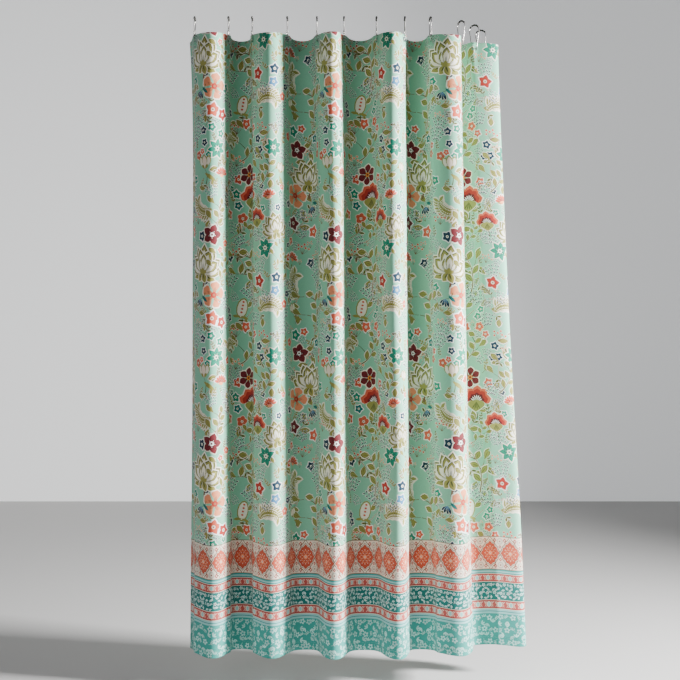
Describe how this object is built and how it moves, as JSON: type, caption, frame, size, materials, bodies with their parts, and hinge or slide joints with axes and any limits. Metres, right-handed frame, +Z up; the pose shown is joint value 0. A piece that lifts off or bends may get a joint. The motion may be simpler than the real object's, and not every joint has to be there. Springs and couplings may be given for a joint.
{
  "type": "shower curtain",
  "caption": "Printed cloth shower curtain hanging in deep folds from wire roller hooks that clip over a round rod.",
  "frame": {"origin": "on the rod's axis at the sixth hook from the left", "axes": "+Z up, +X along the rod's straight run, -Y towards the room"},
  "size_m": [0.9888, 0.2485, 1.8851],
  "materials": {
    "cloth": "printed plain-weave polyester, matt with a faint sheen",
    "hook_wire": "polished nickel-plated wire",
    "hook_roller": "polished dark nickel-plated beads"
  },
  "bodies": {
    "rollers_01": {"hook_rollers_01": "hook_roller"},
    "hook_01": {"hook_ring_01": "hook_wire"},
    "leaf_01": {"fabric_panel_01": "cloth"},
    "leaf_02": {"fabric_panel_02": "cloth"},
    "hook_02": {"hook_ring_02": "hook_wire", "hook_rollers_02": "hook_roller"},
    "leaf_03": {"fabric_panel_03": "cloth"},
    "hook_03": {"hook_ring_03": "hook_wire", "hook_rollers_03": "hook_roller"},
    "leaf_04": {"fabric_panel_04": "cloth"},
    "hook_04": {"hook_ring_04": "hook_wire", "hook_rollers_04": "hook_roller"},
    "leaf_05": {"fabric_panel_05": "cloth"},
    "hook_05": {"hook_ring_05": "hook_wire", "hook_rollers_05": "hook_roller"},
    "leaf_06": {"fabric_panel_06": "cloth"},
    "hook_06": {"hook_ring_06": "hook_wire", "hook_rollers_06": "hook_roller"},
    "leaf_07": {"fabric_panel_07": "cloth"},
    "hook_07": {"hook_ring_07": "hook_wire", "hook_rollers_07": "hook_roller"},
    "leaf_08": {"fabric_panel_08": "cloth"},
    "hook_08": {"hook_ring_08": "hook_wire", "hook_rollers_08": "hook_roller"},
    "leaf_09": {"fabric_panel_09": "cloth"},
    "hook_09": {"hook_ring_09": "hook_wire", "hook_rollers_09": "hook_roller"},
    "leaf_10": {"fabric_panel_10": "cloth"},
    "hook_10": {"hook_ring_10": "hook_wire", "hook_rollers_10": "hook_roller"},
    "leaf_11": {"fabric_panel_11": "cloth"},
    "hook_11": {"hook_ring_11": "hook_wire", "hook_rollers_11": "hook_roller"},
    "leaf_12": {"fabric_panel_12": "cloth"},
    "hook_12": {"hook_ring_12": "hook_wire", "hook_rollers_12": "hook_roller"}
  },
  "joints": [
    {"name": "swing", "type": "hinge", "parent": "rollers_01", "child": "hook_01", "pos_m": [-0.442, 0, 0], "axis": [1, 0, 0], "range_deg": [0, 10]},
    {"name": "draw", "type": "hinge", "parent": "hook_01", "child": "leaf_01", "pos_m": [-0.442, 0, -0.056], "axis": [0, 0, -1], "range_deg": [-5, 12]},
    {"name": "fold_01", "type": "hinge", "parent": "leaf_01", "child": "leaf_02", "pos_m": [-0.392, -0.05113, -0.056], "axis": [0, 0, 1], "range_deg": [-10.5, 24.5]},
    {"name": "hook_turn_02", "type": "hinge", "parent": "leaf_02", "child": "hook_02", "pos_m": [-0.342, 0, -0.056], "axis": [0, 0, 1], "range_deg": [-12.5, 5.5]},
    {"name": "fold_02", "type": "hinge", "parent": "leaf_02", "child": "leaf_03", "pos_m": [-0.307, 0.05858, -0.056], "axis": [0, 0, 1], "range_deg": [-24.5, 10.5]},
    {"name": "hook_turn_03", "type": "hinge", "parent": "leaf_03", "child": "hook_03", "pos_m": [-0.272, 0, -0.056], "axis": [0, 0, 1], "range_deg": [-5.5, 12.5]},
    {"name": "fold_03", "type": "hinge", "parent": "leaf_03", "child": "leaf_04", "pos_m": [-0.22, -0.04965, -0.056], "axis": [0, 0, 1], "range_deg": [-10.5, 24.5]},
    {"name": "hook_turn_04", "type": "hinge", "parent": "leaf_04", "child": "hook_04", "pos_m": [-0.168, 0, -0.056], "axis": [0, 0, 1], "range_deg": [-12.5, 5.5]},
    {"name": "fold_04", "type": "hinge", "parent": "leaf_04", "child": "leaf_05", "pos_m": [-0.124, 0.05481, -0.056], "axis": [0, 0, 1], "range_deg": [-24.5, 10.5]},
    {"name": "hook_turn_05", "type": "hinge", "parent": "leaf_05", "child": "hook_05", "pos_m": [-0.08, 0, -0.056], "axis": [0, 0, 1], "range_deg": [-5.5, 12.5]},
    {"name": "fold_05", "type": "hinge", "parent": "leaf_05", "child": "leaf_06", "pos_m": [-0.04, -0.05672, -0.056], "axis": [0, 0, 1], "range_deg": [-10.5, 24.5]},
    {"name": "hook_turn_06", "type": "hinge", "parent": "leaf_06", "child": "hook_06", "pos_m": [0, 0, -0.056], "axis": [0, 0, 1], "range_deg": [-12.5, 5.5]},
    {"name": "fold_06", "type": "hinge", "parent": "leaf_06", "child": "leaf_07", "pos_m": [0.048, 0.05247, -0.056], "axis": [0, 0, 1], "range_deg": [-24.5, 10.5]},
    {"name": "hook_turn_07", "type": "hinge", "parent": "leaf_07", "child": "hook_07", "pos_m": [0.096, 0, -0.056], "axis": [0, 0, 1], "range_deg": [-5.5, 12.5]},
    {"name": "fold_07", "type": "hinge", "parent": "leaf_07", "child": "leaf_08", "pos_m": [0.138, -0.05581, -0.056], "axis": [0, 0, 1], "range_deg": [-10.5, 24.5]},
    {"name": "hook_turn_08", "type": "hinge", "parent": "leaf_08", "child": "hook_08", "pos_m": [0.18, 0, -0.056], "axis": [0, 0, 1], "range_deg": [-12.5, 5.5]},
    {"name": "fold_08", "type": "hinge", "parent": "leaf_08", "child": "leaf_09", "pos_m": [0.21598, 0.05832, -0.056], "axis": [-0.0006, 0, 1], "range_deg": [-32.23, 13.72]},
    {"name": "hook_turn_09", "type": "hinge", "parent": "leaf_09", "child": "hook_09", "pos_m": [0.25592, 0.00182, -0.056], "axis": [0, 0, 1], "range_deg": [-5.5, 12.5]},
    {"name": "fold_09", "type": "hinge", "parent": "leaf_09", "child": "leaf_10", "pos_m": [0.32245, -0.02415, -0.056], "axis": [-0.0057, 0, 1], "range_deg": [-6.29, 2.91]},
    {"name": "hook_turn_10", "type": "hinge", "parent": "leaf_10", "child": "hook_10", "pos_m": [0.35083, 0.04139, -0.056], "axis": [0, 0, 1], "range_deg": [-12.5, 5.5]},
    {"name": "fold_10", "type": "hinge", "parent": "leaf_10", "child": "leaf_11", "pos_m": [0.33022, 0.10555, -0.056], "axis": [-0.0158, 0, 0.9999], "range_deg": [-43.41, 18.38]},
    {"name": "hook_turn_11", "type": "hinge", "parent": "leaf_11", "child": "hook_11", "pos_m": [0.39565, 0.08943, -0.056], "axis": [0, 0, 1], "range_deg": [-5.5, 12.5]},
    {"name": "fold_11", "type": "hinge", "parent": "leaf_11", "child": "leaf_12", "pos_m": [0.46326, 0.09516, -0.056], "axis": [-0.0309, 0, 0.9995], "range_deg": [-2.62, 5.59]},
    {"name": "hook_turn_12", "type": "hinge", "parent": "leaf_12", "child": "hook_12", "pos_m": [0.42249, 0.1494, -0.056], "axis": [0, 0, 1], "range_deg": [-12.5, 5.5]}
  ],
  "couplings": [
    {"joint": "fold_01", "follows": "draw", "ratio": 2},
    {"joint": "hook_turn_02", "follows": "draw", "ratio": -1},
    {"joint": "fold_02", "follows": "draw", "ratio": -2},
    {"joint": "hook_turn_03", "follows": "draw", "ratio": 1},
    {"joint": "fold_03", "follows": "draw", "ratio": 2},
    {"joint": "hook_turn_04", "follows": "draw", "ratio": -1},
    {"joint": "fold_04", "follows": "draw", "ratio": -2},
    {"joint": "hook_turn_05", "follows": "draw", "ratio": 1},
    {"joint": "fold_05", "follows": "draw", "ratio": 2},
    {"joint": "hook_turn_06", "follows": "draw", "ratio": -1},
    {"joint": "fold_06", "follows": "draw", "ratio": -2},
    {"joint": "hook_turn_07", "follows": "draw", "ratio": 1},
    {"joint": "fold_07", "follows": "draw", "ratio": 2},
    {"joint": "hook_turn_08", "follows": "draw", "ratio": -1},
    {"joint": "fold_08", "follows": "draw", "ratio": -2.6446},
    {"joint": "hook_turn_09", "follows": "draw", "ratio": 1},
    {"joint": "fold_09", "follows": "draw", "ratio": -0.48282},
    {"joint": "hook_turn_10", "follows": "draw", "ratio": -1},
    {"joint": "fold_10", "follows": "draw", "ratio": -3.5756},
    {"joint": "hook_turn_11", "follows": "draw", "ratio": 1},
    {"joint": "fold_11", "follows": "draw", "ratio": 0.42437},
    {"joint": "hook_turn_12", "follows": "draw", "ratio": -1}
  ]
}
